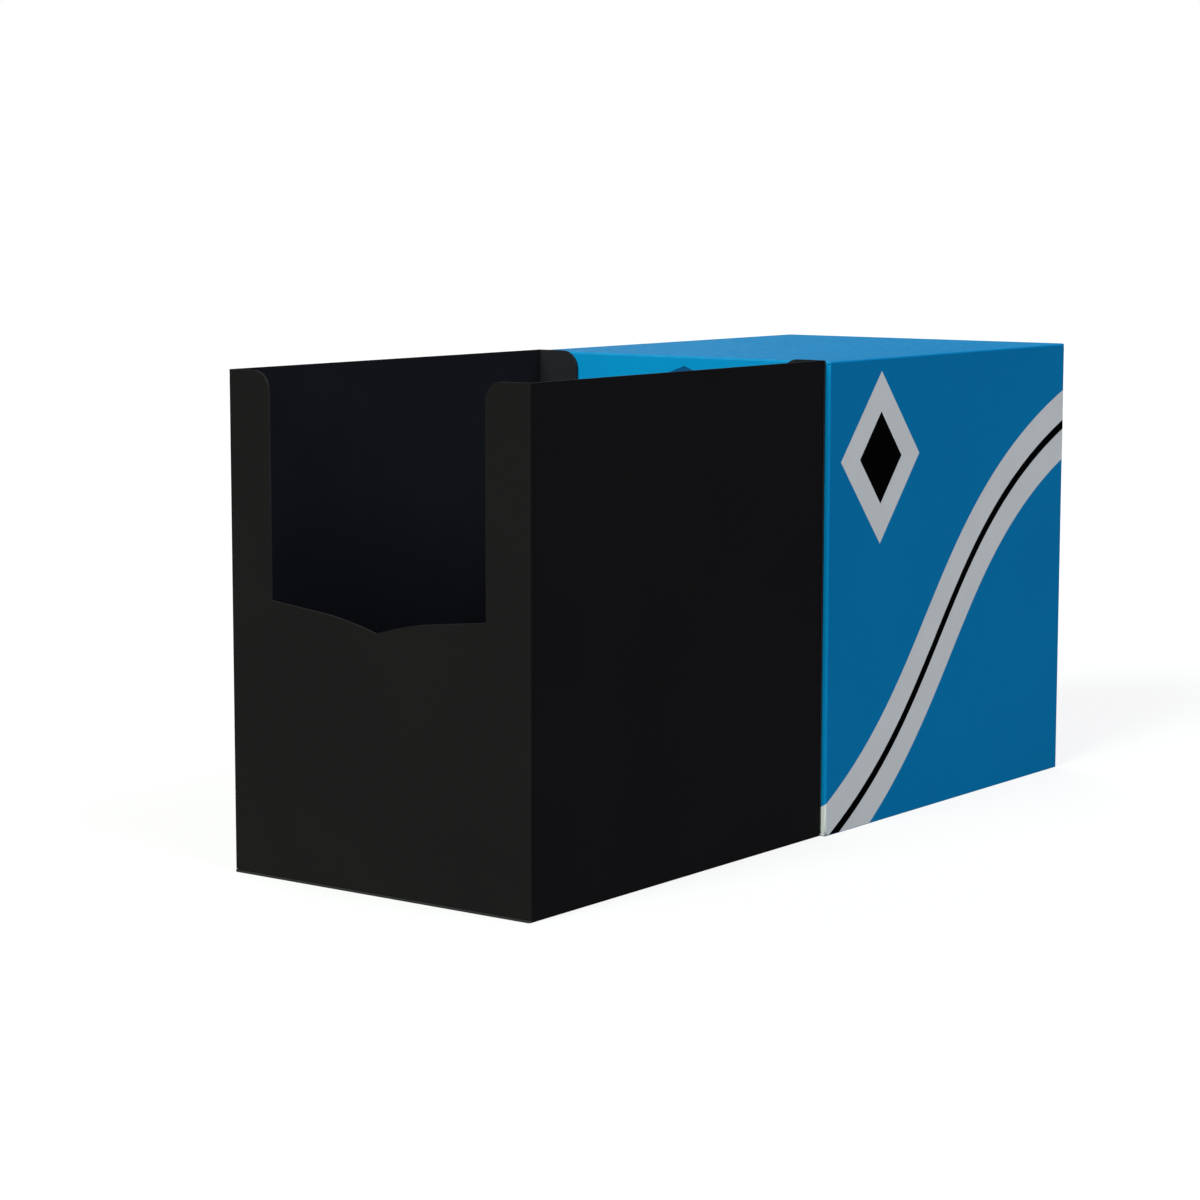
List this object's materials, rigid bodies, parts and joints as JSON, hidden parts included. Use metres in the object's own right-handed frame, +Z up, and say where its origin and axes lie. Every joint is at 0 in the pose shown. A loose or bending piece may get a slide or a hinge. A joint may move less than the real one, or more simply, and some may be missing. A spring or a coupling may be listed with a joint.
{
  "type": "deck box",
  "caption": "Two-part folded plastic deck box: an open black card tray with thumb cut-outs at both ends, and a deep blue shell standing behind it that drops over the tray.",
  "frame": {"origin": "middle of the tray's underside", "axes": "+X from the tray's front to its back, where the shell stands; +Y across; +Z up"},
  "size_m": [0.1967, 0.0745, 0.098],
  "materials": {
    "tray_plastic": "satin black polypropylene sheet, fine grain",
    "shell_plastic": "satin blue polypropylene sheet, fine grain",
    "grey_print": "screen-printed grey ink",
    "black_print": "screen-printed black ink",
    "dark_blue_print": "screen-printed dark blue ink"
  },
  "bodies": {
    "tray": {"tray_base": "tray_plastic", "tray_near_wall": "tray_plastic", "tray_far_wall": "tray_plastic", "tray_front_panel": "tray_plastic", "tray_rear_panel": "tray_plastic", "tray_seam_tab": "tray_plastic", "tray_far_flap": "tray_plastic", "tray_front_flap": "tray_plastic", "tray_rear_flap": "tray_plastic"},
    "shell": {"shell_top": "shell_plastic", "shell_near_wall": "shell_plastic", "shell_far_wall": "shell_plastic", "shell_front_panel": "shell_plastic", "shell_rear_panel": "shell_plastic", "shell_seam_tab": "shell_plastic", "shell_far_flap": "shell_plastic", "shell_front_flap": "shell_plastic", "shell_rear_flap": "shell_plastic"}
  },
  "joints": [
    {"name": "shell_lift", "type": "slide", "parent": "tray", "child": "shell", "axis": [0, 0, 1], "range_m": [0, 0.105]}
  ]
}
